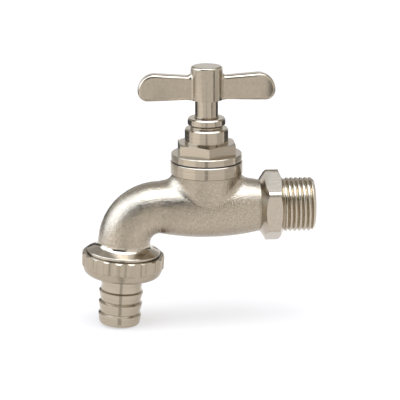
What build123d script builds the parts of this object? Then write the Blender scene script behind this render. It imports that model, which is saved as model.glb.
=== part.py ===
from build123d import *

import os
from math import cos, radians, sin, tan

os.makedirs("parts", exist_ok=True)

# A bib tap for a drum or a wall, in millimetres, shut. The origin is on the inlet's axis, at the
# shoulder where the inlet thread starts. +X runs out through the inlet and +Z up the spindle.

# Clearances
thread_clearance = 0.05  # radial, between two threads drawn at their crests
running_clearance = 0.08  # radial, round pieces that turn
thrust_clearance = 0.05  # axial, between faces that turn on each other
free_clearance = 0.4  # radial, round pieces that pass each other

# Pipe threads, drawn as rings with the thread's own section
pipe_thread_pitch = 1.814
pipe_thread_depth = 1.162
pipe_thread_angle = 55.0  # between the flanks

# Inlet: parallel pipe thread, with a cast spanner hexagon behind it
inlet_thread_d = 20.955
inlet_thread_length = 12.4
inlet_thread_chamfer = 1.1
inlet_bore_d = 12.0
inlet_hex_flats = 25.0
inlet_hex_length = 8.8
inlet_hex_corner_r = 2.5
inlet_hex_shoulder = 0.3  # how far the hexagon's front face stands out past the thread
inlet_hex_front_slope = 0.5  # length of the hexagon's chamfer for each millimetre of radius
inlet_hex_back_slope = 0.66
inlet_neck_inset = 0.5  # how far the neck behind the hexagon lies under the thread's crests

# Cast barrel and boss under the bonnet
bonnet_offset = 29.2  # inlet shoulder to spindle axis
bonnet_seat_z = 18.2
barrel_wall = 2.9
boss_wall = 2.77
boss_foot_inset = 0.6  # how far the boss's foot lies inside the barrel
boss_fillet_r = 4.0
collar_height = 4.7
collar_step = 0.8
collar_edge = 0.25

# Water way inside the body
seat_bore_d = 11.0
seat_lip_width = 1.6
seat_lip_height = 1.0
chamber_step = 1.2  # how far the upper chamber's wall lies inside the bonnet thread
chamber_height = 9.0
passage_depth = 6.0  # inlet axis to the middle of the passage under the seat
passage_half_width = 6.4
passage_half_height = 3.4
passage_straight = 11.0  # length of round bore behind the inlet shoulder
web_width = 3.0  # wall between the passage under the seat and the spout

# Bent spout and its outlet
tube_bore_d = 14.8
tube_wall = 2.75
bend_offset = 18.1  # spindle axis to the start of the bend
bend_r = 13.9
bend_angle = 86.0
outlet_straight = 0.5
outlet_flare_r = 2.3
outlet_flare_slope = 25.0  # degrees, at the flange
outlet_flange_d = 28.4
outlet_flange_width = 1.4
outlet_flange_edge = 0.4
outlet_thread_d = 26.441
outlet_thread_length = 4.6
outlet_thread_chamfer = 0.7

# Union nut with a fluted grip
union_nut_lip = 0.2  # how far the nut reaches up round the outlet's flange
union_nut_gap = 0.35  # radial, round the outlet's flange or thread, whichever is wider
union_nut_rim = 1.45
union_nut_edge = 0.4
union_nut_web = 1.6
union_nut_bottom_r = 3.2
grip_length = 5.3
grip_step = 0.65
flute_count = 20
flute_r = 3.7
flute_depth = 0.55

# Hose tail
outlet_gasket_thickness = 1.1
tail_collar_thickness = 1.4
tail_collar_clearance = 0.6
tail_shank_d = 17.5
tail_shank_reach = 0.2  # straight shank showing under the union nut
tail_neck_d = 15.8
tail_neck_taper = 3.4
tail_bore_d = 11.0
tail_mouth = 1.0
barb_count = 3
barb_first = 6.15  # underside of the union nut to the first barb's edge
barb_pitch = 4.63
barb_d = 17.2
barb_shrink = 0.2  # on the diameter, from each barb to the next
barb_rise = 0.55
barb_land = 0.5
barb_root_d = 15.3
tail_tip_length = 4.1
tail_tip_d = 15.7
tail_tip_edge = 1.0

# Bonnet
bonnet_gasket_thickness = 0.35
bonnet_gasket_inset = 0.3
bonnet_wall = 2.0
bonnet_flange_inset = 0.3
bonnet_flange_thickness = 2.8
bonnet_flange_edge = 0.2
bonnet_hex_flats = 21.3
bonnet_hex_height = 4.2
bonnet_hex_chamfer = 0.3  # height of the chamfer at the hexagon's corners
bonnet_neck_d = 16.75
bonnet_neck_height = 5.6
bonnet_neck_edge = 0.5
bonnet_skirt_gap = 0.3
bonnet_skirt_chamfer = 0.6

# Spindle
valve_lift = 4.5
spindle_stop_gap = 0.5  # left at each end of the spindle's thread at full lift
spindle_stem_d = 8.8
spindle_thread_d = 10.0
spindle_collar_d = 12.0
spindle_collar_height = 2.2
spindle_edge = 0.5
spindle_reach = 7.1  # stem showing between gland nut and handle
spindle_square = 6.0
spindle_square_edge = 0.4
spindle_square_length = 7.6
spindle_shoulder = 0.4  # how far the round stem reaches up into the handle

# Stuffing box round the spindle
packing_width = 1.8
packing_washer_thickness = 0.7
packing_ring_height = 1.1
packing_ring_count = 2
follower_thickness = 1.0
gland_thread_length = 1.75
gland_neck_height = 0.8
gland_head_height = 3.2
gland_head_d = 14.5
gland_head_taper = 0.8
gland_head_edge = 0.45
gland_mouth = 0.5

# Jumper with its washer
jumper_stem_d = 5.0
jumper_stem_length = 7.0
jumper_socket_gap = 0.4
jumper_plate_thickness = 2.4
jumper_edge = 0.5
cup_wall = 0.7
cup_depth = 1.6
seat_washer_thickness = 4.2
stud_d = 4.0
stud_end = 0.4  # stud showing under the nut
clamp_washer_d = 8.4
clamp_washer_thickness = 0.6
washer_nut_flats = 7.0
washer_nut_thickness = 2.4
clip_wire = 0.6
clip_width = 1.0
clip_depth = 0.35  # how far the clip lies inside the jumper's stem
clip_height = 1.2  # bottom of the spindle to the clip's underside
clip_opening = 1.5

# Handle
hub_d = 12.2
hub_height = 12.9
hub_edge = 0.9
wing_span = 52.5
wing_root_top = 8.7  # heights over the hub's underside
wing_tip_top = 10.6
wing_root_bottom = 0.3
wing_tip_bottom = -0.4
wing_root_width = 4.6
wing_waist_width = 5.2
wing_waist = 20.5  # from the spindle axis to the thickest part of a wing
wing_tip_width = 4.0
wing_top_corner_r = 6.3
wing_bottom_corner_r = 3.6
wing_edge = 1.3
wing_root_fillet = 1.6
set_screw_d = 4.0
set_screw_height = 4.3
set_screw_sink = 0.5
set_screw_socket = 2.0
set_screw_socket_depth = 1.3

# Radii that build on each other, from the seat and the spindle outwards
seat_bore_r = seat_bore_d / 2
seat_lip_r = seat_bore_r + seat_lip_width
cup_bore_r = seat_lip_r + running_clearance
jumper_r = cup_bore_r + cup_wall
cavity_r = jumper_r + free_clearance
skirt_r = cavity_r + bonnet_wall
boss_bore_r = skirt_r + thread_clearance
chamber_r = boss_bore_r - chamber_step
barrel_r = chamber_r + barrel_wall
boss_foot_r = barrel_r - boss_foot_inset
boss_r = boss_bore_r + boss_wall
collar_r = boss_r + collar_step
bonnet_flange_r = collar_r - bonnet_flange_inset
stem_r = spindle_stem_d / 2
stem_hole_r = stem_r + running_clearance
spindle_thread_r = spindle_thread_d / 2
spindle_collar_r = spindle_collar_d / 2
box_r = stem_r + packing_width
gland_r = box_r - thread_clearance
gland_head_r = gland_head_d / 2
jumper_stem_r = jumper_stem_d / 2
jumper_socket_r = jumper_stem_r + running_clearance
clip_inner_r = jumper_stem_r - clip_depth
clip_outer_r = clip_inner_r + clip_width
stud_r = stud_d / 2
stud_hole_r = stud_r + thread_clearance
hub_r = hub_d / 2

# Radii of the inlet, the spout and the outlet
inlet_thread_r = inlet_thread_d / 2
inlet_neck_r = inlet_thread_r - inlet_neck_inset
tube_bore_r = tube_bore_d / 2
tube_r = tube_bore_r + tube_wall
outlet_flange_r = outlet_flange_d / 2
outlet_thread_r = outlet_thread_d / 2
union_mouth_r = max(outlet_flange_r, outlet_thread_r) + union_nut_gap
union_nut_r = union_mouth_r + union_nut_rim
union_base_r = union_nut_r - grip_step
union_thread_r = outlet_thread_r + thread_clearance
tail_collar_r = union_thread_r - tail_collar_clearance
tail_shank_r = tail_shank_d / 2
tail_hole_r = tail_shank_r + running_clearance
tail_bore_r = tail_bore_d / 2

# Heights along the spindle axis, with the valve shut
boss_top = bonnet_seat_z - collar_height
gasket_top = bonnet_seat_z + bonnet_gasket_thickness
bonnet_flange_top = gasket_top + bonnet_flange_thickness
bonnet_hex_top = bonnet_flange_top + bonnet_hex_height
bonnet_top = bonnet_hex_top + bonnet_neck_height
gland_bottom = bonnet_top - gland_thread_length
gland_neck_top = bonnet_top + gland_neck_height
gland_top = gland_neck_top + gland_head_height
follower_bottom = gland_bottom - follower_thickness
packing_bottom = follower_bottom - packing_ring_count * packing_ring_height
box_floor = packing_bottom - packing_washer_thickness
washer_top = seat_lip_height + seat_washer_thickness
clamp_bottom = seat_lip_height - clamp_washer_thickness
washer_nut_bottom = clamp_bottom - washer_nut_thickness
jumper_top = washer_top + jumper_plate_thickness
jumper_stem_top = jumper_top + jumper_stem_length
spindle_bottom = jumper_top + thrust_clearance
spindle_collar_top = spindle_bottom + spindle_collar_height
spindle_thread_top = box_floor - valve_lift - spindle_stop_gap
clip_bottom = spindle_bottom + clip_height
clip_top = clip_bottom + clip_wire
skirt_bottom = chamber_height + bonnet_skirt_gap
cavity_top = spindle_collar_top + valve_lift + spindle_stop_gap
hub_bottom = gland_top + spindle_reach
square_bottom = hub_bottom + spindle_shoulder

# Distances along the outlet's axis, from the end of the bend
flare_turn = 90 - outlet_flare_slope
flare_cone = outlet_flange_r - tube_r - outlet_flare_r * (1 - cos(radians(flare_turn)))
flare_rise = outlet_flare_r * sin(radians(flare_turn)) + flare_cone * tan(radians(outlet_flare_slope))
outlet_flange_top = outlet_straight + flare_rise
outlet_flange_bottom = outlet_flange_top + outlet_flange_width
outlet_end = outlet_flange_bottom + outlet_thread_length
union_nut_top = outlet_flange_bottom - union_nut_lip
grip_bottom = union_nut_top + grip_length
tail_top = outlet_end + outlet_gasket_thickness
tail_collar_bottom = tail_top + tail_collar_thickness
web_top = tail_collar_bottom + thrust_clearance
union_nut_bottom = web_top + union_nut_web
tail_bottom = union_nut_bottom + barb_first + (barb_count - 1) * barb_pitch + tail_tip_length

# Axes and planes of the inlet, the spindle and the outlet
inlet_section = Plane((0, 0, 0), x_dir=(0, 0, 1), z_dir=(0, 1, 0))
bonnet_axis = Axis((-bonnet_offset, 0, 0), (0, 0, 1))
bonnet_section = Plane((-bonnet_offset, 0, 0), x_dir=(1, 0, 0), z_dir=(0, -1, 0))
bend_start_x = -bonnet_offset - bend_offset
bend_axis = Axis((bend_start_x, 0, -bend_r), (0, -1, 0))
bend_turn = radians(bend_angle)
bend_end = Vector(bend_start_x - bend_r * sin(bend_turn), 0, bend_r * (cos(bend_turn) - 1))
outlet_direction = Vector(-cos(bend_turn), 0, -sin(bend_turn))
outlet_across = Vector(sin(bend_turn), 0, -cos(bend_turn))
outlet_axis = Axis(bend_end, outlet_direction)
outlet_section = Plane(bend_end, x_dir=outlet_across, z_dir=(0, 1, 0))


def level(height):
    """Plane across the spindle axis at a height over the inlet's axis."""
    return Plane((-bonnet_offset, 0, height))


def outlet_level(distance):
    """Plane across the outlet's axis, facing out, at a distance from the end of the bend."""
    return Plane(bend_end + outlet_direction * distance, x_dir=outlet_across, z_dir=outlet_direction)


def turned(section, axis, outline, mode=Mode.ADD):
    """Turn a closed outline of (radius, distance) points about an axis."""
    with BuildSketch(section) as profile:
        with BuildLine():
            Polyline(*outline, close=True)
        make_face()
    revolve(profile.sketch, axis=axis, mode=mode)


def ring(section, axis, inner_r, outer_r, low, high, mode=Mode.ADD):
    """Plain ring between two radii and two distances along an axis."""
    outline = [(inner_r, low), (outer_r, low), (outer_r, high), (inner_r, high)]
    turned(section, axis, outline, mode)


def pipe_thread(crest_r, length, end_chamfer):
    """Outline of a pipe thread's rings, as (radius, distance) points from its shoulder to its end."""
    flank = pipe_thread_depth * tan(radians(pipe_thread_angle / 2))
    root_half = (pipe_thread_pitch / 2 - flank) / 2
    grooves = 2 * int((length - end_chamfer) / (2 * pipe_thread_pitch))
    first = (length - end_chamfer - (grooves - 1) * pipe_thread_pitch) / 2
    outline = [(crest_r, 0)]
    for index in range(grooves):
        groove = first + index * pipe_thread_pitch
        outline.append((crest_r, groove - root_half - flank))
        outline.append((crest_r - pipe_thread_depth, groove - root_half))
        outline.append((crest_r - pipe_thread_depth, groove + root_half))
        outline.append((crest_r, groove + root_half + flank))
    return outline + [(crest_r, length - end_chamfer), (crest_r - end_chamfer, length)]


def finish(piece, name):
    """Label a finished piece and write it out."""
    piece.part.label = name
    export_step(piece.part, f"parts/{name}.step")


# Valve body: barrel, boss, bent spout, spanner hexagon and both threads in one casting
spout_start_x = -bonnet_offset - seat_lip_r - running_clearance
passage_end_x = spout_start_x + web_width
passage_low_x = -bonnet_offset + chamber_r + free_clearance
hex_front_r = inlet_thread_r + inlet_hex_shoulder
hex_clear_r = inlet_hex_flats
hex_front_cut = (hex_clear_r - hex_front_r) * inlet_hex_front_slope
hex_back_cut = (hex_clear_r - inlet_neck_r) * inlet_hex_back_slope
hex_cones = [
    [(0, hex_front_r), (0, hex_clear_r), (-hex_front_cut, hex_clear_r)],
    [
        (-inlet_hex_length, inlet_neck_r),
        (-inlet_hex_length, hex_clear_r),
        (hex_back_cut - inlet_hex_length, hex_clear_r),
    ],
]

with BuildPart() as valve_body:
    # Barrel, swelling under the boss
    with BuildSketch(Plane.XZ):
        with BuildLine():
            swell = ThreePointArc(
                (bend_start_x, -tube_r),
                (-bonnet_offset, -barrel_r),
                (-inlet_hex_length, -inlet_neck_r),
            )
            Polyline(swell @ 1, (-inlet_hex_length, 0), (bend_start_x, 0), swell @ 0)
        make_face()
    revolve(axis=Axis.X)

    # Boss, blended into the barrel, and the turned collar on top
    boss = [(0, 0), (boss_foot_r, 0), (boss_r, boss_top), (boss_r, bonnet_seat_z), (0, bonnet_seat_z)]
    turned(bonnet_section, bonnet_axis, boss)
    fillet(valve_body.edges(Select.NEW), boss_fillet_r)
    collar = [
        (0, boss_top),
        (collar_r - collar_edge, boss_top),
        (collar_r, boss_top + collar_edge),
        (collar_r, bonnet_seat_z - collar_edge),
        (collar_r - collar_edge, bonnet_seat_z),
        (0, bonnet_seat_z),
    ]
    turned(bonnet_section, bonnet_axis, collar)

    # Bent spout, with a turned flare, flange and thread at its end
    with BuildSketch(Plane((bend_start_x, 0, 0), z_dir=(-1, 0, 0))):
        Circle(tube_r)
    revolve(axis=bend_axis, revolution_arc=bend_angle)
    outlet_thread = [
        (radius, outlet_flange_bottom + distance)
        for radius, distance in pipe_thread(outlet_thread_r, outlet_thread_length, outlet_thread_chamfer)
    ]
    flange_rim = [(outlet_flange_r, outlet_flange_top), (outlet_flange_r, outlet_flange_bottom)]
    with BuildSketch(outlet_section) as outlet:
        with BuildLine():
            flare = JernArc((tube_r, outlet_straight), (0, 1), outlet_flare_r, -flare_turn)
            Polyline(
                flare @ 1,
                *flange_rim,
                *outlet_thread,
                (0, outlet_end),
                (0, 0),
                (tube_r, 0),
                flare @ 0,
            )
        make_face()
        fillet([outlet.vertices().sort_by_distance(corner)[0] for corner in flange_rim], outlet_flange_edge)
    revolve(axis=outlet_axis)

    # Spanner hexagon, coned at both ends, and the inlet thread at its crests
    with BuildSketch(Plane.YZ.offset(-inlet_hex_length)) as hex_blank:
        RegularPolygon(inlet_hex_flats / 2, 6, major_radius=False, rotation=30)
        fillet(hex_blank.vertices(), inlet_hex_corner_r)
    extrude(amount=inlet_hex_length)
    for cone in hex_cones:
        with BuildSketch(Plane.XZ):
            with BuildLine():
                Polyline(*cone, close=True)
            make_face()
        revolve(axis=Axis.X, mode=Mode.SUBTRACT)
    inlet_thread = pipe_thread(inlet_thread_r, inlet_thread_length, inlet_thread_chamfer)
    turned(inlet_section, Axis.X, [(0, 0), *inlet_thread, (0, inlet_thread_length)])

    # Water way: inlet bore, passage under the seat, seat, chamber and spout
    with BuildSketch(Plane.YZ.offset(inlet_thread_length)):
        Circle(inlet_bore_d / 2)
    extrude(amount=-inlet_thread_length - passage_straight, mode=Mode.SUBTRACT)
    with BuildSketch(Plane.YZ.offset(-passage_straight)):
        Circle(inlet_bore_d / 2)
    with BuildSketch(Plane.YZ.offset(passage_low_x)):
        with Locations((0, -passage_depth)):
            Ellipse(passage_half_width, passage_half_height)
    loft(mode=Mode.SUBTRACT)
    with BuildSketch(Plane.YZ.offset(passage_low_x)):
        with Locations((0, -passage_depth)):
            Ellipse(passage_half_width, passage_half_height)
    extrude(amount=passage_end_x - passage_low_x, mode=Mode.SUBTRACT)
    with BuildSketch(level(-passage_depth)):
        Circle(seat_bore_r)
    extrude(amount=passage_depth + seat_lip_height, mode=Mode.SUBTRACT)
    chamber = [
        (0, seat_lip_height),
        (seat_lip_r, seat_lip_height),
        (seat_lip_r, 0),
        (chamber_r, 0),
        (chamber_r, chamber_height),
        (boss_bore_r, chamber_height),
        (boss_bore_r, bonnet_seat_z),
        (0, bonnet_seat_z),
    ]
    turned(bonnet_section, bonnet_axis, chamber, Mode.SUBTRACT)
    with BuildSketch(Plane.YZ.offset(spout_start_x)):
        Circle(tube_bore_r)
    extrude(amount=bend_start_x - spout_start_x, mode=Mode.SUBTRACT)
    with BuildSketch(Plane((bend_start_x, 0, 0), z_dir=(-1, 0, 0))):
        Circle(tube_bore_r)
    revolve(axis=bend_axis, revolution_arc=bend_angle, mode=Mode.SUBTRACT)
    with BuildSketch(outlet_level(0)):
        Circle(tube_bore_r)
    extrude(amount=outlet_end, mode=Mode.SUBTRACT)
finish(valve_body, "valve_body")

# Bonnet gasket
with BuildPart() as bonnet_gasket:
    gasket_r = bonnet_flange_r - bonnet_gasket_inset
    ring(bonnet_section, bonnet_axis, boss_bore_r, gasket_r, bonnet_seat_z, gasket_top)
finish(bonnet_gasket, "bonnet_gasket")

# Bonnet: threaded skirt, flange, hexagon and neck, bored for the spindle and its packing
bonnet_thread_r = spindle_thread_r + thread_clearance
bonnet_neck_r = bonnet_neck_d / 2
bonnet_hex_r = bonnet_hex_flats / 2
bonnet_hex_corner_r = bonnet_hex_r / cos(radians(30))

with BuildPart() as bonnet:
    turned(
        bonnet_section,
        bonnet_axis,
        [
            (cavity_r, skirt_bottom),
            (skirt_r - bonnet_skirt_chamfer, skirt_bottom),
            (skirt_r, skirt_bottom + bonnet_skirt_chamfer),
            (skirt_r, gasket_top),
            (bonnet_flange_r - bonnet_flange_edge, gasket_top),
            (bonnet_flange_r, gasket_top + bonnet_flange_edge),
            (bonnet_flange_r, bonnet_flange_top - bonnet_flange_edge),
            (bonnet_flange_r - bonnet_flange_edge, bonnet_flange_top),
            (bonnet_neck_r, bonnet_flange_top),
            (bonnet_neck_r, bonnet_top - bonnet_neck_edge),
            (bonnet_neck_r - bonnet_neck_edge, bonnet_top),
            (box_r, bonnet_top),
            (box_r, box_floor),
            (bonnet_thread_r, box_floor),
            (bonnet_thread_r, cavity_top),
            (cavity_r, cavity_top),
        ],
    )
    with BuildSketch(level(bonnet_flange_top)):
        RegularPolygon(bonnet_hex_r, 6, major_radius=False, rotation=30)
        Circle(box_r, mode=Mode.SUBTRACT)
    extrude(amount=bonnet_hex_height)
    corner_cut = [
        (bonnet_hex_r, bonnet_hex_top),
        (bonnet_hex_corner_r, bonnet_hex_top - bonnet_hex_chamfer),
        (bonnet_hex_corner_r, bonnet_hex_top),
    ]
    turned(bonnet_section, bonnet_axis, corner_cut, Mode.SUBTRACT)
finish(bonnet, "bonnet")

# Packing, from the bottom of the stuffing box up to the gland nut
packing_outer_r = box_r - thread_clearance

with BuildPart() as packing_washer:
    ring(bonnet_section, bonnet_axis, stem_hole_r, packing_outer_r, box_floor, packing_bottom)
finish(packing_washer, "packing_washer")

with BuildPart() as packing_rings:
    for index in range(packing_ring_count):
        low = packing_bottom + index * packing_ring_height
        high = low + packing_ring_height - thrust_clearance
        ring(bonnet_section, bonnet_axis, stem_hole_r, packing_outer_r, low, high)
finish(packing_rings, "packing_rings")

with BuildPart() as gland_follower:
    ring(bonnet_section, bonnet_axis, stem_hole_r, packing_outer_r, follower_bottom, gland_bottom)
finish(gland_follower, "gland_follower")

with BuildPart() as gland_nut:
    turned(
        bonnet_section,
        bonnet_axis,
        [
            (stem_hole_r, gland_bottom),
            (gland_r, gland_bottom),
            (gland_r, gland_neck_top),
            (gland_head_r, gland_neck_top + gland_head_taper),
            (gland_head_r, gland_top - gland_head_edge),
            (gland_head_r - gland_head_edge, gland_top),
            (stem_hole_r + gland_mouth, gland_top),
            (stem_hole_r, gland_top - gland_mouth),
        ],
    )
finish(gland_nut, "gland_nut")

# Jumper: plate with a cup for the washer, a stud below and a stem that hangs in the spindle
with BuildPart() as valve_disc:
    turned(
        bonnet_section,
        bonnet_axis,
        [
            (0, washer_nut_bottom - stud_end),
            (stud_r, washer_nut_bottom - stud_end),
            (stud_r, washer_top),
            (cup_bore_r, washer_top),
            (cup_bore_r, washer_top - cup_depth),
            (jumper_r, washer_top - cup_depth),
            (jumper_r, jumper_top - jumper_edge),
            (jumper_r - jumper_edge, jumper_top),
            (jumper_stem_r, jumper_top),
            (jumper_stem_r, clip_bottom - thrust_clearance),
            (clip_inner_r - running_clearance, clip_bottom - thrust_clearance),
            (clip_inner_r - running_clearance, clip_top + thrust_clearance),
            (jumper_stem_r, clip_top + thrust_clearance),
            (jumper_stem_r, jumper_stem_top - jumper_edge),
            (jumper_stem_r - jumper_edge, jumper_stem_top),
            (0, jumper_stem_top),
        ],
    )
finish(valve_disc, "valve_disc")

with BuildPart() as seat_washer:
    ring(bonnet_section, bonnet_axis, stud_hole_r, seat_lip_r, seat_lip_height, washer_top)
finish(seat_washer, "seat_washer")

with BuildPart() as clamp_washer:
    ring(bonnet_section, bonnet_axis, stud_hole_r, clamp_washer_d / 2, clamp_bottom, seat_lip_height)
finish(clamp_washer, "clamp_washer")

with BuildPart() as washer_nut:
    with BuildSketch(level(washer_nut_bottom)):
        RegularPolygon(washer_nut_flats / 2, 6, major_radius=False)
        Circle(stud_hole_r, mode=Mode.SUBTRACT)
    extrude(amount=washer_nut_thickness)
finish(washer_nut, "washer_nut")

# Spindle: collar, thread, stem and square, with a socket for the jumper
with BuildPart() as spindle:
    turned(
        bonnet_section,
        bonnet_axis,
        [
            (0, jumper_stem_top + jumper_socket_gap),
            (jumper_socket_r, jumper_stem_top + jumper_socket_gap),
            (jumper_socket_r, clip_top),
            (clip_outer_r + thread_clearance, clip_top),
            (clip_outer_r + thread_clearance, clip_bottom),
            (jumper_socket_r, clip_bottom),
            (jumper_socket_r, spindle_bottom),
            (spindle_collar_r - spindle_edge, spindle_bottom),
            (spindle_collar_r, spindle_bottom + spindle_edge),
            (spindle_collar_r, spindle_collar_top),
            (spindle_thread_r, spindle_collar_top),
            (spindle_thread_r, spindle_thread_top - spindle_edge),
            (spindle_thread_r - spindle_edge, spindle_thread_top),
            (stem_r, spindle_thread_top),
            (stem_r, square_bottom),
            (0, square_bottom),
        ],
    )
    with BuildSketch(level(square_bottom)) as square:
        Rectangle(spindle_square, spindle_square)
        chamfer(square.vertices(), spindle_square_edge)
    extrude(amount=spindle_square_length)
finish(spindle, "spindle")

with BuildPart() as jumper_clip:
    ring(bonnet_section, bonnet_axis, clip_inner_r, clip_outer_r, clip_bottom, clip_top)
    with BuildSketch(level(clip_bottom)):
        with Locations((clip_outer_r, 0)):
            Rectangle(clip_outer_r * 2, clip_opening)
    extrude(amount=clip_wire, mode=Mode.SUBTRACT)
finish(jumper_clip, "jumper_clip")

# Handle: T bar with a round hub, blind square socket below
wing_end = wing_span / 2
handle_section = Plane((-bonnet_offset, 0, hub_bottom), x_dir=(1, 0, 0), z_dir=(0, -1, 0))
set_screw_plane = Plane((-bonnet_offset, 0, hub_bottom + set_screw_height), z_dir=(0, 1, 0))
socket_square = spindle_square + 2 * thread_clearance

with BuildPart() as handle:
    # Wings: outline seen from the front, cut to the outline seen from above
    with BuildSketch(handle_section) as wing_front:
        with BuildLine():
            Polyline(
                (-wing_end, wing_tip_bottom),
                (0, wing_root_bottom),
                (wing_end, wing_tip_bottom),
                (wing_end, wing_tip_top),
                (0, wing_root_top),
                (-wing_end, wing_tip_top),
                close=True,
            )
        make_face()
        fillet(wing_front.vertices().group_by(Axis.Y)[-1], wing_top_corner_r)
        fillet(wing_front.vertices().group_by(Axis.Y)[0], wing_bottom_corner_r)
    extrude(amount=hub_r, both=True)
    with BuildSketch(level(hub_bottom)):
        with BuildLine():
            flank = Spline(
                (-wing_end, wing_tip_width / 2),
                (-wing_waist, wing_waist_width / 2),
                (0, wing_root_width / 2),
                (wing_waist, wing_waist_width / 2),
                (wing_end, wing_tip_width / 2),
            )
            Polyline(flank @ 1, (wing_end, 0), (-wing_end, 0), flank @ 0)
        make_face()
        mirror(about=Plane.XZ)
    extrude(amount=hub_height, both=True, mode=Mode.INTERSECT)
    fillet(handle.edges().filter_by(Axis.Y, reverse=True), wing_edge)

    # Hub, blended into the wings all round and then faced off flat underneath
    with BuildSketch(level(hub_bottom - hub_r)):
        Circle(hub_r)
    extrude(amount=hub_r + hub_height)
    fillet(handle.edges(Select.NEW), wing_root_fillet)
    with BuildSketch(level(hub_bottom)):
        Circle(hub_r + 2 * wing_root_fillet)
    extrude(amount=-hub_d, mode=Mode.SUBTRACT)
    fillet(handle.edges().filter_by(GeomType.CIRCLE).sort_by(Axis.Z)[-1], hub_edge)

    # Socket for the spindle and the hole for the set screw
    with BuildSketch(level(hub_bottom)):
        Circle(stem_hole_r)
    extrude(amount=spindle_shoulder, mode=Mode.SUBTRACT)
    with BuildSketch(level(square_bottom)):
        Rectangle(socket_square, socket_square)
    extrude(amount=spindle_square_length + jumper_socket_gap, mode=Mode.SUBTRACT)
    with BuildSketch(set_screw_plane):
        Circle(set_screw_d / 2 + thread_clearance)
    extrude(amount=hub_d, mode=Mode.SUBTRACT)
finish(handle, "handle")

# Set screw at the back of the hub, bearing on the spindle's square
set_screw_length = hub_r - set_screw_sink - spindle_square / 2

with BuildPart() as handle_set_screw:
    with BuildSketch(set_screw_plane.offset(spindle_square / 2)):
        Circle(set_screw_d / 2)
    extrude(amount=set_screw_length)
    with BuildSketch(set_screw_plane.offset(hub_r - set_screw_sink)):
        RegularPolygon(set_screw_socket / 2, 6, major_radius=False)
    extrude(amount=-set_screw_socket_depth, mode=Mode.SUBTRACT)
finish(handle_set_screw, "handle_set_screw")

# Hose tail: collar under the union nut, tapered neck and saw-tooth barbs
barb_edges = [union_nut_bottom + barb_first + index * barb_pitch for index in range(barb_count)]
barbs = []
for index, edge in enumerate(barb_edges):
    root_d = barb_root_d if index else tail_neck_d
    edge_r = (barb_d - index * barb_shrink) / 2
    barbs.append((root_d / 2, edge - barb_rise))
    barbs.append((edge_r, edge))
    barbs.append((edge_r, edge + barb_land))

with BuildPart() as hose_tail:
    turned(
        outlet_section,
        outlet_axis,
        [
            (tail_bore_r, tail_top + tail_mouth),
            (tail_bore_r + tail_mouth, tail_top),
            (tail_collar_r, tail_top),
            (tail_collar_r, tail_collar_bottom),
            (tail_shank_r, tail_collar_bottom),
            (tail_shank_r, union_nut_bottom + tail_shank_reach),
            (tail_neck_d / 2, union_nut_bottom + tail_shank_reach + tail_neck_taper),
            *barbs,
            (tail_tip_d / 2, tail_bottom),
            (tail_bore_r, tail_bottom),
        ],
    )
    tip_edges = hose_tail.edges().filter_by(GeomType.CIRCLE).group_by(outlet_axis)[-1]
    fillet(tip_edges.sort_by(SortBy.LENGTH)[-1], tail_tip_edge)
finish(hose_tail, "hose_tail")

with BuildPart() as outlet_gasket:
    ring(outlet_section, outlet_axis, tube_bore_r, tail_collar_r, outlet_end, tail_top)
finish(outlet_gasket, "outlet_gasket")

# Union nut: round base with a fluted grip, threaded inside, held on the tail by its bottom web
with BuildPart() as union_nut:
    with BuildSketch(outlet_section):
        with BuildLine():
            bottom_edge = CenterArc(
                (union_base_r - union_nut_bottom_r, union_nut_bottom - union_nut_bottom_r),
                union_nut_bottom_r,
                0,
                90,
            )
            Polyline(
                bottom_edge @ 0,
                (union_base_r, grip_bottom),
                (union_nut_r - union_nut_edge, grip_bottom),
                (union_nut_r, grip_bottom - union_nut_edge),
                (union_nut_r, union_nut_top + union_nut_edge),
                (union_nut_r - union_nut_edge, union_nut_top),
                (union_mouth_r, union_nut_top),
                (union_mouth_r, outlet_flange_bottom + union_nut_gap),
                (union_thread_r, outlet_flange_bottom + union_nut_gap),
                (union_thread_r, web_top),
                (tail_hole_r, web_top),
                (tail_hole_r, union_nut_bottom),
                bottom_edge @ 1,
            )
        make_face()
    revolve(axis=outlet_axis)
    with BuildSketch(outlet_level(union_nut_top)):
        with PolarLocations(union_nut_r - flute_depth + flute_r, flute_count):
            Circle(flute_r)
    extrude(amount=grip_length, mode=Mode.SUBTRACT)
finish(union_nut, "union_nut")
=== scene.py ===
import math
from collections import namedtuple

import bpy
import numpy as np
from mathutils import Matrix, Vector


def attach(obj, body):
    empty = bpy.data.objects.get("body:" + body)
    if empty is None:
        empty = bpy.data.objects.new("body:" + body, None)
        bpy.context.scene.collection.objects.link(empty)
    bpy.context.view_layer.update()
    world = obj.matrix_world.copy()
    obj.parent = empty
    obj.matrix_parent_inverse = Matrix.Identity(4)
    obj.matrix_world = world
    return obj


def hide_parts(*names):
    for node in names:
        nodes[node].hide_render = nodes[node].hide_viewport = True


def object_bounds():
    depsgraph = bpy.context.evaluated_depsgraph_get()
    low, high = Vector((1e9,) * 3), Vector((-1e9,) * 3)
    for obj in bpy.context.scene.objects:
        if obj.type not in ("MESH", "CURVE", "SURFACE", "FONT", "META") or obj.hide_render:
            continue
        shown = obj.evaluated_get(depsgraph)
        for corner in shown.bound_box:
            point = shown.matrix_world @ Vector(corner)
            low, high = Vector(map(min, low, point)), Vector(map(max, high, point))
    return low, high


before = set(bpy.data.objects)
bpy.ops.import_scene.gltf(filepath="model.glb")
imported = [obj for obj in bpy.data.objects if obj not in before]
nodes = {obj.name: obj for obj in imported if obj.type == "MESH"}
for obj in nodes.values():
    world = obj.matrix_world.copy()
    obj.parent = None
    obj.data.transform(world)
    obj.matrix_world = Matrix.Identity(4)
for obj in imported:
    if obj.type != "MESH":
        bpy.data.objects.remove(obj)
cad_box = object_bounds()

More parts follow.
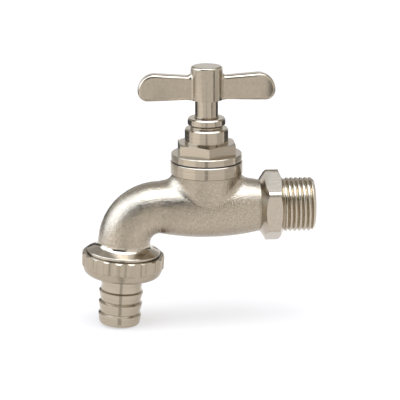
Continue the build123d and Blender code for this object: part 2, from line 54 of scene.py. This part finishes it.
# Sizes of the tap that the dressing follows, in metres
MM = 0.001
SPINDLE_X = -29.2 * MM
OUTLET_START = Vector((-61.166, 0, -12.930)) * MM  # where the bend ends
OUTLET_DIRECTION = Vector((-0.069756, 0, -0.997564))
OUTLET_FLARE_START = 0.5 * MM
OUTLET_FLANGE_UNDERSIDE = 5.254 * MM
SPOUT_X = -40 * MM  # the spout lies beyond this
COLLAR_BOTTOM = 13.5 * MM
COLLAR_INSIDE = 13.12 * MM
HEXAGON_LENGTH = 8.8 * MM
THREAD_PITCH = 1.814 * MM
THREAD_DEPTH = 1.162 * MM

Thread = namedtuple("Thread", "origin axis crest_r bore_r length chamfer")
INLET_THREAD = Thread(
    origin=Vector((0, 0, 0)),
    axis=Vector((1, 0, 0)),
    crest_r=10.4775 * MM,
    bore_r=6.0 * MM,
    length=12.4 * MM,
    chamfer=1.1 * MM,
)
OUTLET_THREAD = Thread(
    origin=OUTLET_START + OUTLET_DIRECTION * OUTLET_FLANGE_UNDERSIDE,
    axis=OUTLET_DIRECTION,
    crest_r=13.2205 * MM,
    bore_r=7.4 * MM,
    length=4.6 * MM,
    chamfer=0.7 * MM,
)

# Sockets of the colour mixing node, which share their names
MIX_FACTOR, MIX_A, MIX_B, MIX_RESULT = 0, 6, 7, 2


def linear(code):
    """An sRGB hex colour as linear RGBA."""
    shares = [int(code[i : i + 2], 16) / 255 for i in (1, 3, 5)]
    return (*[s / 12.92 if s <= 0.04045 else ((s + 0.055) / 1.055) ** 2.4 for s in shares], 1.0)


def per_mm(size):
    """Texture scale at which one feature is this many millimetres across."""
    return 1 / (size * MM)


def add(tree, kind, inputs=None, **settings):
    """A node with its settings, and with values or links on its inputs."""
    made = tree.nodes.new(kind)
    for name, value in settings.items():
        setattr(made, name, value)
    for name, value in (inputs or {}).items():
        socket = made.inputs[name]
        if isinstance(value, bpy.types.NodeSocket):
            tree.links.new(value, socket)
        else:
            socket.default_value = value
    return made


def new_material(name):
    """A material with an empty node tree."""
    material = bpy.data.materials.new(name)
    material.use_nodes = True
    material.node_tree.nodes.clear()
    return material, material.node_tree


# Painted shade: the plate's colour turns dull brown in the corners and crevices, where shade falls
CORNER_SHADE = "#7A6E5C"
SHADE_REACH = 0.6  # mm
SHADE_SAMPLES = 6


def painted_corner_shade(tree, colour, reach):
    """A colour with painted shade: it turns brown in the corners of the metal, the more so the more enclosed
    they are.
    """
    clear = add(tree, "ShaderNodeAmbientOcclusion", {"Distance": reach * MM}, samples=SHADE_SAMPLES)
    ends = {MIX_FACTOR: clear.outputs["AO"], MIX_A: linear(CORNER_SHADE), MIX_B: colour}
    return add(tree, "ShaderNodeMix", ends, data_type="RGBA").outputs[MIX_RESULT]


SHOT_PIT, SHOT_RIDGE = 0.3, 0.7  # levels of the noise that become the bottom of a pit and a ridge
PATCH_SIZE = 6  # mm, of the patches that the shot left duller or brighter
PATCH_ROUGHNESS = 0.04


def blasted_nickel(name, pale, deep, grain, relief, roughness, shade_reach=SHADE_REACH):
    """Nickel plate on shot-blasted brass: satin, with sparks where a lamp's reflection meets a dark one.

    Real shot marks are about 0.2 mm across, and are drawn as coarse as they need to show.
    """
    material, tree = new_material(name)
    place = add(tree, "ShaderNodeTexCoord").outputs["Object"]
    patches = add(tree, "ShaderNodeTexNoise", {"Vector": place, "Scale": per_mm(PATCH_SIZE), "Detail": 2.0})
    noise = add(tree, "ShaderNodeTexNoise", {"Vector": place, "Scale": per_mm(grain), "Detail": 1.0})
    shot = add(
        tree,
        "ShaderNodeMapRange",
        {"Value": noise.outputs["Fac"], "From Min": SHOT_PIT, "From Max": SHOT_RIDGE},
    ).outputs["Result"]
    pits = add(tree, "ShaderNodeBump", {"Height": shot, "Distance": relief * MM})
    plate = add(
        tree,
        "ShaderNodeMix",
        {MIX_FACTOR: shot, MIX_A: linear(deep), MIX_B: linear(pale)},
        data_type="RGBA",
    ).outputs[MIX_RESULT]
    dullness = add(
        tree,
        "ShaderNodeMapRange",
        {
            "Value": patches.outputs["Fac"],
            "To Min": roughness - PATCH_ROUGHNESS,
            "To Max": roughness + PATCH_ROUGHNESS,
        },
    )
    metal = add(
        tree,
        "ShaderNodeBsdfPrincipled",
        {
            # base colour with painted shade darkening its corners
            "Base Color": painted_corner_shade(tree, plate, shade_reach),
            "Metallic": 1.0,
            "Roughness": dullness.outputs["Result"],
            "Normal": pits.outputs["Normal"],
        },
    )
    add(tree, "ShaderNodeOutputMaterial", {"Surface": metal.outputs[0]})
    return material


LINE_SPACING = 0.7  # mm
LINE_DEPTH = 0.012  # mm
LINE_ROUGHNESS = 0.05
LINE_STRETCH = 0.6
ACROSS_LINES = 0.25  # of a full turn


def turned_nickel(name, origin, axis, pale, deep, roughness):
    """Nickel plate on turned brass: bright, with reflections drawn out across the tool's fine lines.

    Real lines are about 0.1 mm apart, and are drawn coarser so that they show.
    """
    material, tree = new_material(name)
    place = add(tree, "ShaderNodeTexCoord").outputs["Object"]
    arm = add(tree, "ShaderNodeVectorMath", {0: place, 1: origin}, operation="SUBTRACT").outputs["Vector"]
    along = add(tree, "ShaderNodeVectorMath", {0: arm, 1: axis}, operation="DOT_PRODUCT").outputs["Value"]
    path = add(tree, "ShaderNodeVectorMath", {0: axis, 1: arm}, operation="CROSS_PRODUCT").outputs["Vector"]
    radius = add(tree, "ShaderNodeVectorMath", {0: path}, operation="LENGTH").outputs["Value"]
    # On a side the lines follow each other along the axis, and on a face along the radius
    cut = add(tree, "ShaderNodeMath", {0: along, 1: radius}, operation="ADD").outputs["Value"]
    lines = add(
        tree,
        "ShaderNodeTexNoise",
        {"W": cut, "Scale": per_mm(LINE_SPACING), "Detail": 2.0},
        noise_dimensions="1D",
    ).outputs["Fac"]
    grooves = add(tree, "ShaderNodeBump", {"Height": lines, "Distance": LINE_DEPTH * MM})
    plate = add(
        tree,
        "ShaderNodeMix",
        {MIX_FACTOR: lines, MIX_A: linear(deep), MIX_B: linear(pale)},
        data_type="RGBA",
    ).outputs[MIX_RESULT]
    dullness = add(
        tree,
        "ShaderNodeMapRange",
        {"Value": lines, "To Min": roughness - LINE_ROUGHNESS, "To Max": roughness + LINE_ROUGHNESS},
    )
    metal = add(
        tree,
        "ShaderNodeBsdfPrincipled",
        {
            # base colour with painted shade darkening its corners
            "Base Color": painted_corner_shade(tree, plate, SHADE_REACH),
            "Metallic": 1.0,
            "Roughness": dullness.outputs["Result"],
            "Anisotropic": LINE_STRETCH,
            "Anisotropic Rotation": ACROSS_LINES,
            "Tangent": path,
            "Normal": grooves.outputs["Normal"],
        },
    )
    add(tree, "ShaderNodeOutputMaterial", {"Surface": metal.outputs[0]})
    return material


def threaded_nickel(name, crest, root, crest_roughness, root_roughness):
    """Nickel plate on a cut thread: bright lines on the crests, duller and a little yellower between them."""
    material, tree = new_material(name)
    depth = add(tree, "ShaderNodeAttribute", attribute_name="thread_depth").outputs["Fac"]
    plate = add(
        tree,
        "ShaderNodeMix",
        {MIX_FACTOR: depth, MIX_A: linear(crest), MIX_B: linear(root)},
        data_type="RGBA",
    ).outputs[MIX_RESULT]
    dullness = add(
        tree,
        "ShaderNodeMapRange",
        {"Value": depth, "To Min": crest_roughness, "To Max": root_roughness},
    )
    metal = add(
        tree,
        "ShaderNodeBsdfPrincipled",
        {"Base Color": plate, "Metallic": 1.0, "Roughness": dullness.outputs["Result"]},
    )
    add(tree, "ShaderNodeOutputMaterial", {"Surface": metal.outputs[0]})
    return material


def fine_grained(name, pale, deep, grain, relief, roughness, metallic=0.0):
    """An even surface with a fine grain, for the pieces inside the tap, drawn coarse enough to show."""
    material, tree = new_material(name)
    place = add(tree, "ShaderNodeTexCoord").outputs["Object"]
    specks = add(
        tree,
        "ShaderNodeTexNoise",
        {"Vector": place, "Scale": per_mm(grain), "Detail": 3.0},
    ).outputs["Fac"]
    bump = add(tree, "ShaderNodeBump", {"Height": specks, "Distance": relief * MM})
    colour = add(
        tree,
        "ShaderNodeMix",
        {MIX_FACTOR: specks, MIX_A: linear(deep), MIX_B: linear(pale)},
        data_type="RGBA",
    ).outputs[MIX_RESULT]
    skin = add(
        tree,
        "ShaderNodeBsdfPrincipled",
        {
            "Base Color": colour,
            "Metallic": metallic,
            "Roughness": roughness,
            "Normal": bump.outputs["Normal"],
        },
    )
    add(tree, "ShaderNodeOutputMaterial", {"Surface": skin.outputs[0]})
    return material


# Casting: a soft sheen that breaks into sparks along the barrel and the bend
cast_nickel = blasted_nickel(
    "blasted_nickel_plate", pale="#B8AC9A", deep="#998D7B", grain=0.42, relief=0.06, roughness=0.23
)
# Milled hexagon: smooth flats, each one tone
hexagon_nickel = blasted_nickel(
    "milled_nickel_plate",
    pale="#B8AD9D",
    deep="#B1A695",
    grain=0.8,
    relief=0.006,
    roughness=0.2,
    # painted shade kept to the tightest corners of the hexagon
    shade_reach=0.1,
)
# Union nut: a smoother casting, satin between its flutes
nut_nickel = blasted_nickel(
    "union_nut_nickel_plate", pale="#ACA08E", deep="#A69A87", grain=0.6, relief=0.012, roughness=0.24
)
# Handle: tumbled smooth, with soft reflections and hardly any grain
handle_nickel = blasted_nickel(
    "tumbled_nickel_plate", pale="#AA9E8C", deep="#A39785", grain=1.0, relief=0.006, roughness=0.19
)
# Bonnet, gland nut, spindle and collar: upright streaks of light and dark
bonnet_nickel = turned_nickel(
    "turned_nickel_plate", (SPINDLE_X, 0, 0), (0, 0, 1), pale="#B1A594", deep="#A39784", roughness=0.17
)
# Outlet's flare and flange: the brightest turning, with the sharpest reflections
outlet_nickel = turned_nickel(
    "turned_outlet_nickel_plate",
    OUTLET_START,
    OUTLET_DIRECTION,
    pale="#B8AD9E",
    deep="#AFA493",
    roughness=0.14,
)
# Hose tail: duller than the outlet, with softer streaks
tail_nickel = turned_nickel(
    "turned_tail_nickel_plate",
    OUTLET_START,
    OUTLET_DIRECTION,
    pale="#BBAF9D",
    deep="#AEA28E",
    roughness=0.2,
)
thread_nickel = threaded_nickel(
    "threaded_nickel_plate", crest="#BBB09F", root="#BFB4A0", crest_roughness=0.16, root_roughness=0.3
)
# Pieces inside, of turned brass: yellow and bright
plain_brass = fine_grained(
    "turned_brass", pale="#C9A65C", deep="#B8934A", grain=0.8, relief=0.01, roughness=0.25, metallic=1.0
)
# Clip and grub screw of drawn steel: cool grey
plain_steel = fine_grained(
    "drawn_steel", pale="#A3A4A6", deep="#8E9093", grain=0.8, relief=0.01, roughness=0.3, metallic=1.0
)
# Washers of moulded rubber: matt black
black_rubber = fine_grained(
    "moulded_black_rubber", pale="#1B1B1B", deep="#131313", grain=0.6, relief=0.02, roughness=0.7
)
# Bonnet gasket of pressed fibre: dry, brownish black
pressed_fibre = fine_grained(
    "pressed_fibre", pale="#1E1A16", deep="#14110E", grain=0.5, relief=0.03, roughness=0.8
)
# Braided packing: pale and fluffy
soft_packing = fine_grained(
    "braided_packing", pale="#DAD8D0", deep="#C6C3B8", grain=0.6, relief=0.06, roughness=0.85
)

# Cast body with real threads
SAME_PLACE = 0.02 * MM
SLACK = 0.01 * MM  # so that a face on a limit is taken too
WELD_DIGITS = 7  # decimals of a metre to which points are the same
THREAD_COLUMNS = 144
RINGS_PER_PITCH = 18
THREAD_START = 0.5  # of a turn
FLANK_STEEPNESS = 1.25  # over 1, so that the crest is flat for a fifth of the pitch
FLANK_ROUNDING = 1.7
RUN_OUT_HEIGHT = 0.6  # share of the thread's height where it ends at the shoulder
RUN_OUT_PITCHES = 0.7
CAST, COLLAR, PAST_BEND, THREAD, HEXAGON = range(5)  # material slots of the body


def frame_about(axis):
    """Two directions square to an axis in the XZ plane, the second a quarter turn about it from the first."""
    across = Vector((0, 1, 0))
    return across, axis.cross(across)


def welded(mesh):
    """A node's unique points, its triangles and the normals at their corners."""
    mesh.calc_loop_triangles()
    points = np.empty(len(mesh.vertices) * 3)
    mesh.vertices.foreach_get("co", points)
    ends = np.empty(len(mesh.loop_triangles) * 3, np.int32)
    mesh.loop_triangles.foreach_get("vertices", ends)
    loops = np.empty(len(mesh.loop_triangles) * 3, np.int32)
    mesh.loop_triangles.foreach_get("loops", loops)
    normals = np.empty(len(mesh.loops) * 3)
    mesh.corner_normals.foreach_get("vector", normals)
    unique, index = np.unique(points.reshape(-1, 3).round(WELD_DIGITS), axis=0, return_inverse=True)
    triangles = index.reshape(-1)[ends].reshape(-1, 3)
    return unique, triangles, normals.reshape(-1, 3)[loops].reshape(-1, 3, 3)


def about_axis(points, origin, axis):
    """Distance along an axis, radius and angle of each point."""
    across, beside = frame_about(axis)
    offset = points - np.array(origin)
    u, w = offset @ np.array(across), offset @ np.array(beside)
    return offset @ np.array(axis), np.hypot(u, w), np.arctan2(w, u)


def annulus(outer, outer_angles, inner, inner_angles):
    """Triangles between two rings of points, walking round both by angle."""
    o, i, faces = 0, 0, []
    while o < len(outer) or i < len(inner):
        next_o = outer_angles[(o + 1) % len(outer)] + 2 * math.pi * ((o + 1) // len(outer))
        next_i = inner_angles[(i + 1) % len(inner)] + 2 * math.pi * ((i + 1) // len(inner))
        here, there = outer[o % len(outer)], inner[i % len(inner)]
        if i >= len(inner) or (o < len(outer) and next_o <= next_i):
            o += 1
            faces.append((here, outer[o % len(outer)], there))
        else:
            i += 1
            faces.append((here, inner[i % len(inner)], there))
    return faces


def helix(thread):
    """Grid of a right-hand pipe thread: distances, angles, radii and the share of its depth."""
    rings = round(thread.length / THREAD_PITCH * RINGS_PER_PITCH) + 1
    along = np.linspace(0, thread.length, rings)[:, None]
    angle = np.linspace(-math.pi, math.pi, THREAD_COLUMNS, endpoint=False)[None, :]
    turn = along / THREAD_PITCH - angle / (2 * math.pi) + THREAD_START
    flank = np.clip(FLANK_STEEPNESS * (1 - np.abs(2 * (turn % 1) - 1)), 0, 1)
    rise = 1 - (1 - flank) ** FLANK_ROUNDING
    run_out = np.clip(along / (RUN_OUT_PITCHES * THREAD_PITCH), 0, 1)
    rise = RUN_OUT_HEIGHT + (rise - RUN_OUT_HEIGHT) * run_out
    radius = thread.crest_r - THREAD_DEPTH * (1 - rise)
    cone = thread.crest_r - np.clip(along - (thread.length - thread.chamfer), 0, None)
    return along, angle, np.minimum(radius, cone), 1 - rise


def threaded_body(node, threads):
    """The cast body with real threads in place of the rings that stand for them."""
    points, triangles, normals = welded(node.data)
    keep = np.ones(len(triangles), bool)
    extra_points, extra_faces, extra_normals, depths = [], [], [], []
    base = len(points)
    for thread in threads:
        along, radius, angle = about_axis(points, thread.origin, thread.axis)
        a, r = along[triangles], radius[triangles]
        past_shoulder = (a.min(1) > -SAME_PLACE) & (a.max(1) > SAME_PLACE)
        outside = (r.max(1) > thread.bore_r + SAME_PLACE) & (r.max(1) < thread.crest_r + SAME_PLACE)
        rings = past_shoulder & outside
        keep &= ~rings
        edge = np.unique(triangles[rings])
        at_foot = np.abs(along[edge]) < SAME_PLACE
        at_end = np.abs(along[edge] - thread.length) < SAME_PLACE
        foot = edge[at_foot & (np.abs(radius[edge] - thread.crest_r) < SAME_PLACE)]
        mouth = edge[at_end & (np.abs(radius[edge] - thread.bore_r) < SAME_PLACE)]
        foot, mouth = foot[np.argsort(angle[foot])], mouth[np.argsort(angle[mouth])]

        reach, turn, radii, depth = helix(thread)
        across, beside = (np.array(v) for v in frame_about(thread.axis))
        spoke = np.cos(turn)[..., None] * across + np.sin(turn)[..., None] * beside
        grid = np.array(thread.origin) + reach[..., None] * np.array(thread.axis) + radii[..., None] * spoke
        round_step = np.roll(grid, -1, 1) - np.roll(grid, 1, 1)
        along_step = np.gradient(grid, axis=0)
        facing = np.cross(round_step, along_step)
        facing /= np.linalg.norm(facing, axis=2)[..., None]

        count, columns = radii.shape
        number = base + np.arange(count * columns).reshape(count, columns)
        base += count * columns
        extra_points.append(grid.reshape(-1, 3))
        depths.append(depth.reshape(-1))
        for k in range(count - 1):
            for c in range(columns):
                d = (c + 1) % columns
                extra_faces.append((number[k, c], number[k, d], number[k + 1, d], number[k + 1, c]))
                extra_normals.append([facing[k, c], facing[k, d], facing[k + 1, d], facing[k + 1, c]])
        ends = annulus(foot, angle[foot], number[0], turn[0])
        ends += annulus(number[-1], turn[0], mouth, angle[mouth])
        extra_faces += ends
        extra_normals += [[tuple(thread.axis)] * 3] * len(ends)

    middle = points[triangles[keep]].mean(1)
    from_spindle = np.hypot(middle[:, 0] - SPINDLE_X, middle[:, 1])
    on_collar = (middle[:, 2] > COLLAR_BOTTOM - SLACK) & (from_spindle > COLLAR_INSIDE)
    past_bend = (middle - np.array(OUTLET_START)) @ np.array(OUTLET_DIRECTION) > OUTLET_FLARE_START
    past_bend &= middle[:, 0] < SPOUT_X
    on_hexagon = middle[:, 0] > -HEXAGON_LENGTH - SLACK
    slots = np.select([on_collar, past_bend, on_hexagon], [COLLAR, PAST_BEND, HEXAGON], CAST).tolist()
    slots += [THREAD] * len(extra_faces)

    all_points = np.concatenate([points, *extra_points])
    all_faces = [*triangles[keep], *extra_faces]
    all_normals = [*normals[keep], *extra_normals]
    mesh = bpy.data.meshes.new("threaded_body")
    mesh.from_pydata(all_points.tolist(), [], [tuple(int(v) for v in f) for f in all_faces])
    mesh.polygons.foreach_set("material_index", slots)
    mesh.polygons.foreach_set("use_smooth", [True] * len(all_faces))
    depth = mesh.attributes.new("thread_depth", "FLOAT", "POINT")
    depth.data.foreach_set("value", np.concatenate([np.zeros(len(points)), *depths]))
    mesh.normals_split_custom_set([tuple(map(float, n)) for face in all_normals for n in face])
    body = bpy.data.objects.new("threaded_body", mesh)
    bpy.context.scene.collection.objects.link(body)
    return body


body = threaded_body(nodes["valve_body"], [INLET_THREAD, OUTLET_THREAD])
for finish in (cast_nickel, bonnet_nickel, outlet_nickel, thread_nickel, hexagon_nickel):
    body.data.materials.append(finish)
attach(body, "valve")
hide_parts("valve_body")

# Finishes of the pieces that keep their own shape
finishes = {
    "bonnet": bonnet_nickel,
    "gland_nut": bonnet_nickel,
    "spindle": bonnet_nickel,
    "handle": handle_nickel,
    "hose_tail": tail_nickel,
    "union_nut": nut_nickel,
    "gland_follower": plain_brass,
    "packing_washer": plain_brass,
    "valve_disc": plain_brass,
    "clamp_washer": plain_brass,
    "washer_nut": plain_brass,
    "jumper_clip": plain_steel,
    "handle_set_screw": plain_steel,
    "seat_washer": black_rubber,
    "outlet_gasket": black_rubber,
    "bonnet_gasket": pressed_fibre,
    "packing_rings": soft_packing,
}
for name, finish in finishes.items():
    nodes[name].data.materials.clear()
    nodes[name].data.materials.append(finish)


def look_at(thing, place, target):
    """Puts a lamp or the camera at a place and turns it to a target."""
    thing.location = place
    thing.rotation_euler = (Vector(target) - Vector(place)).to_track_quat("-Z", "Y").to_euler()


# Floor of matt white paper: bright to the eye and in the metal, and it keeps the tap's shadow
FLOOR_REACH = 4.0
PAPER_GLOW = 1.05
PAPER_GLOW_SHARE = 0.55  # the rest is paper that takes light and shadow
floor_z = cad_box[0][2]
floor_mesh = bpy.data.meshes.new("floor")
floor_mesh.from_pydata(
    [(FLOOR_REACH * x, FLOOR_REACH * y, floor_z) for x, y in ((-1, -1), (1, -1), (1, 1), (-1, 1))],
    [],
    [(0, 1, 2, 3)],
)
floor = bpy.data.objects.new("floor", floor_mesh)
bpy.context.scene.collection.objects.link(floor)
paper, paper_tree = new_material("white_paper")
ray = add(paper_tree, "ShaderNodeLightPath").outputs
straight = {0: ray["Is Camera Ray"], 1: ray["Is Glossy Ray"]}
reflected = add(paper_tree, "ShaderNodeMath", straight, operation="MAXIMUM").outputs[0]
through = {0: reflected, 1: ray["Is Transmission Ray"]}
seen = add(paper_tree, "ShaderNodeMath", through, operation="MAXIMUM").outputs[0]
glow_share = add(paper_tree, "ShaderNodeMath", {0: seen, 1: PAPER_GLOW_SHARE}, operation="MULTIPLY")
matt = add(paper_tree, "ShaderNodeBsdfDiffuse", {"Color": linear("#D7CFC8")})
glow = add(paper_tree, "ShaderNodeEmission", {"Strength": PAPER_GLOW})
sheet = add(
    paper_tree, "ShaderNodeMixShader", {0: glow_share.outputs[0], 1: matt.outputs[0], 2: glow.outputs[0]}
)
add(paper_tree, "ShaderNodeOutputMaterial", {"Surface": sheet.outputs[0]})
floor_mesh.materials.append(paper)

# Boards round the tap, which draw the light and dark streaks on its turned pieces
BOARD_POINTS = 17  # along the bend of a board


def board(name, centre_x, first, last, level, near, far):
    """A grey board seen only in reflections: a band between two rings, from one bearing to another.

    Bearings are in degrees from the front, to the right, and a ring is its radius and height.
    """
    points = []
    for turn in np.radians(np.linspace(first, last, BOARD_POINTS)):
        points += [(centre_x + r * math.sin(turn), -r * math.cos(turn), z) for r, z in (near, far)]
    mesh = bpy.data.meshes.new(name)
    mesh.from_pydata(points, [], [(i, i + 2, i + 3, i + 1) for i in range(0, len(points) - 2, 2)])
    card, tree = new_material(name)
    lit = add(tree, "ShaderNodeEmission", {"Strength": level})
    add(tree, "ShaderNodeOutputMaterial", {"Surface": lit.outputs[0]})
    mesh.materials.append(card)
    thing = bpy.data.objects.new(name, mesh)
    bpy.context.scene.collection.objects.link(thing)
    thing.visible_camera = thing.visible_diffuse = thing.visible_shadow = False


BOARD_FOOT = (0.17, floor_z)
BOARD_SPLIT = (0.17, -0.021)
BOARD_HEAD = (0.17, 0.02)
STRIP_HEAD = (0.17, 0.003)
TAIL_X = -0.063  # about where the hose tail ends
MAT_Z = floor_z + 0.0005
MAT_NEAR = (0.0098, MAT_Z)
MAT_FAR = (0.16, MAT_Z)
INLET_X = 0.006  # about halfway along the inlet thread
INLET_BOARD_FOOT = (0.04, 0.022)
INLET_BOARD_HEAD = (0.04, 0.048)
# Each board's name, axis, first and last bearing, level, and two rings
board("left_dark_board", SPINDLE_X, -188, -106, 0.1, BOARD_SPLIT, BOARD_HEAD)
board("left_grey_board", SPINDLE_X, -188, -106, 1.1, BOARD_FOOT, BOARD_SPLIT)
board("left_bright_board", SPINDLE_X, -82, -40, 1.45, BOARD_FOOT, BOARD_HEAD)
board("middle_dark_strip", SPINDLE_X, -10, 0, 0.55, BOARD_FOOT, STRIP_HEAD)
board("right_grey_board", SPINDLE_X, 52, 88, 0.85, BOARD_FOOT, BOARD_HEAD)
board("right_dark_board", SPINDLE_X, 98, 150, 0.08, BOARD_SPLIT, BOARD_HEAD)
board("right_dim_board", SPINDLE_X, 98, 150, 1.0, BOARD_FOOT, BOARD_SPLIT)
board("tail_dark_mat", TAIL_X, -12, 2, 0.62, MAT_NEAR, MAT_FAR)
board("thread_dark_board", INLET_X, 3, 18, 0.05, INLET_BOARD_FOOT, INLET_BOARD_HEAD)

# Room: a lit ceiling, a lamp along the left wall, and a dark gap at the front that draws the barrel's band
LAMP_LEVEL = 1.5  # what is brighter is a lamp
LAMP_COOLNESS = 0.16


def light_along(tree, share, stops):
    """Levels of light, or shares of it, along a line by position, with lamps cooler than walls."""
    made = add(tree, "ShaderNodeValToRGB", {"Fac": share})
    for index, (position, level) in enumerate(stops):
        stop = made.color_ramp.elements[index] if index < 2 else made.color_ramp.elements.new(position)
        stop.position = position
        tint = LAMP_COOLNESS if level > LAMP_LEVEL else 0
        stop.color = (level * (1 - tint), level * (1 - tint / 4), level * (1 + tint), 1)
    return made.outputs["Color"]


def bearing(degrees):
    """Position on the line of bearings, from behind at the left, by the front, to behind at the right."""
    return (degrees + 180) / 360


world = bpy.data.worlds.new("studio")
bpy.context.scene.world = world
world.use_nodes = True
sky = world.node_tree
sky.nodes.clear()
direction = add(sky, "ShaderNodeTexCoord").outputs["Generated"]
parts = add(sky, "ShaderNodeSeparateXYZ", {"Vector": direction}).outputs
ahead = add(sky, "ShaderNodeMath", {0: parts["Y"], 1: -1.0}, operation="MULTIPLY").outputs[0]
angle = add(sky, "ShaderNodeMath", {0: parts["X"], 1: ahead}, operation="ARCTAN2").outputs[0]
round_share = add(sky, "ShaderNodeMapRange", {"Value": angle, "From Min": -math.pi, "From Max": math.pi})
walls = light_along(
    sky,
    round_share.outputs["Result"],
    (
        (bearing(-130), 0.5),
        (bearing(-112), 3.6),
        (bearing(-62), 3.6),
        (bearing(-48), 0.02),
        (bearing(4), 0.02),
        (bearing(15), 1.4),
        (bearing(60), 1.4),
        (bearing(75), 0.8),
        (bearing(112), 0.8),
        (bearing(130), 0.5),
    ),
)
horizon = light_along(
    sky,
    round_share.outputs["Result"],
    (
        (bearing(-122), 1.1),
        (bearing(-106), 3.0),
        (bearing(-62), 3.0),
        (bearing(-46), 1.0),
        (bearing(140), 1.2),
    ),
)
ceiling = light_along(sky, parts["Y"], ((0.0, 4.2), (0.3, 0.55)))
ceiling_share = light_along(sky, parts["Z"], ((0.72, 0.0), (0.8, 1.0)))
wall_share = light_along(sky, parts["Z"], ((0.14, 0.0), (0.28, 0.8), (0.4, 1.0), (0.72, 1.0), (0.79, 0.0)))
over_horizon = {MIX_FACTOR: ceiling_share, MIX_A: horizon, MIX_B: ceiling}
open_sky = add(sky, "ShaderNodeMix", over_horizon, data_type="RGBA").outputs[MIX_RESULT]
between = {MIX_FACTOR: wall_share, MIX_A: open_sky, MIX_B: walls}
room = add(sky, "ShaderNodeMix", between, data_type="RGBA").outputs[MIX_RESULT]
background = add(sky, "ShaderNodeBackground", {"Color": room})
add(sky, "ShaderNodeOutputWorld", {"Surface": background.outputs[0]})

# Softbox over the tap, for the shadow under it
SOFTBOX_LEVEL = 3.0
SOFTBOX_PLACE = (SPINDLE_X, -0.12, 0.62)
lamp = bpy.data.lights.new("softbox", "AREA")
lamp.size = 0.35
lamp.energy = SOFTBOX_LEVEL * math.pi * lamp.size**2
softbox = bpy.data.objects.new("softbox", lamp)
bpy.context.scene.collection.objects.link(softbox)
look_at(softbox, SOFTBOX_PLACE, (SPINDLE_X, 0, 0))

# Camera at the photograph's angle
CAMERA_AZIMUTH = math.radians(-4.8)
CAMERA_ELEVATION = math.radians(15.3)
CAMERA_DISTANCE = 0.7
PIXELS_PER_METRE = 2584
IMAGE_SIDE = 400
SPINDLE_PIXEL = (206.5, 206.0)  # where the spindle's axis meets the inlet's
back = Vector(
    (
        math.sin(CAMERA_AZIMUTH) * math.cos(CAMERA_ELEVATION),
        -math.cos(CAMERA_AZIMUTH) * math.cos(CAMERA_ELEVATION),
        math.sin(CAMERA_ELEVATION),
    )
)
right = Vector((math.cos(CAMERA_AZIMUTH), math.sin(CAMERA_AZIMUTH), 0))
up = back.cross(right)
centre = Vector((SPINDLE_X, 0, 0))
centre -= right * (SPINDLE_PIXEL[0] - IMAGE_SIDE / 2) / PIXELS_PER_METRE
centre += up * (SPINDLE_PIXEL[1] - IMAGE_SIDE / 2) / PIXELS_PER_METRE
lens = bpy.data.cameras.new("camera")
lens.sensor_width = 36
lens.lens = lens.sensor_width * PIXELS_PER_METRE * CAMERA_DISTANCE / IMAGE_SIDE
lens.clip_start = 0.01
camera = bpy.data.objects.new("camera", lens)
bpy.context.scene.collection.objects.link(camera)
look_at(camera, centre + back * CAMERA_DISTANCE, centre)
bpy.context.scene.camera = camera

bpy.context.scene.view_settings.view_transform = "Standard"
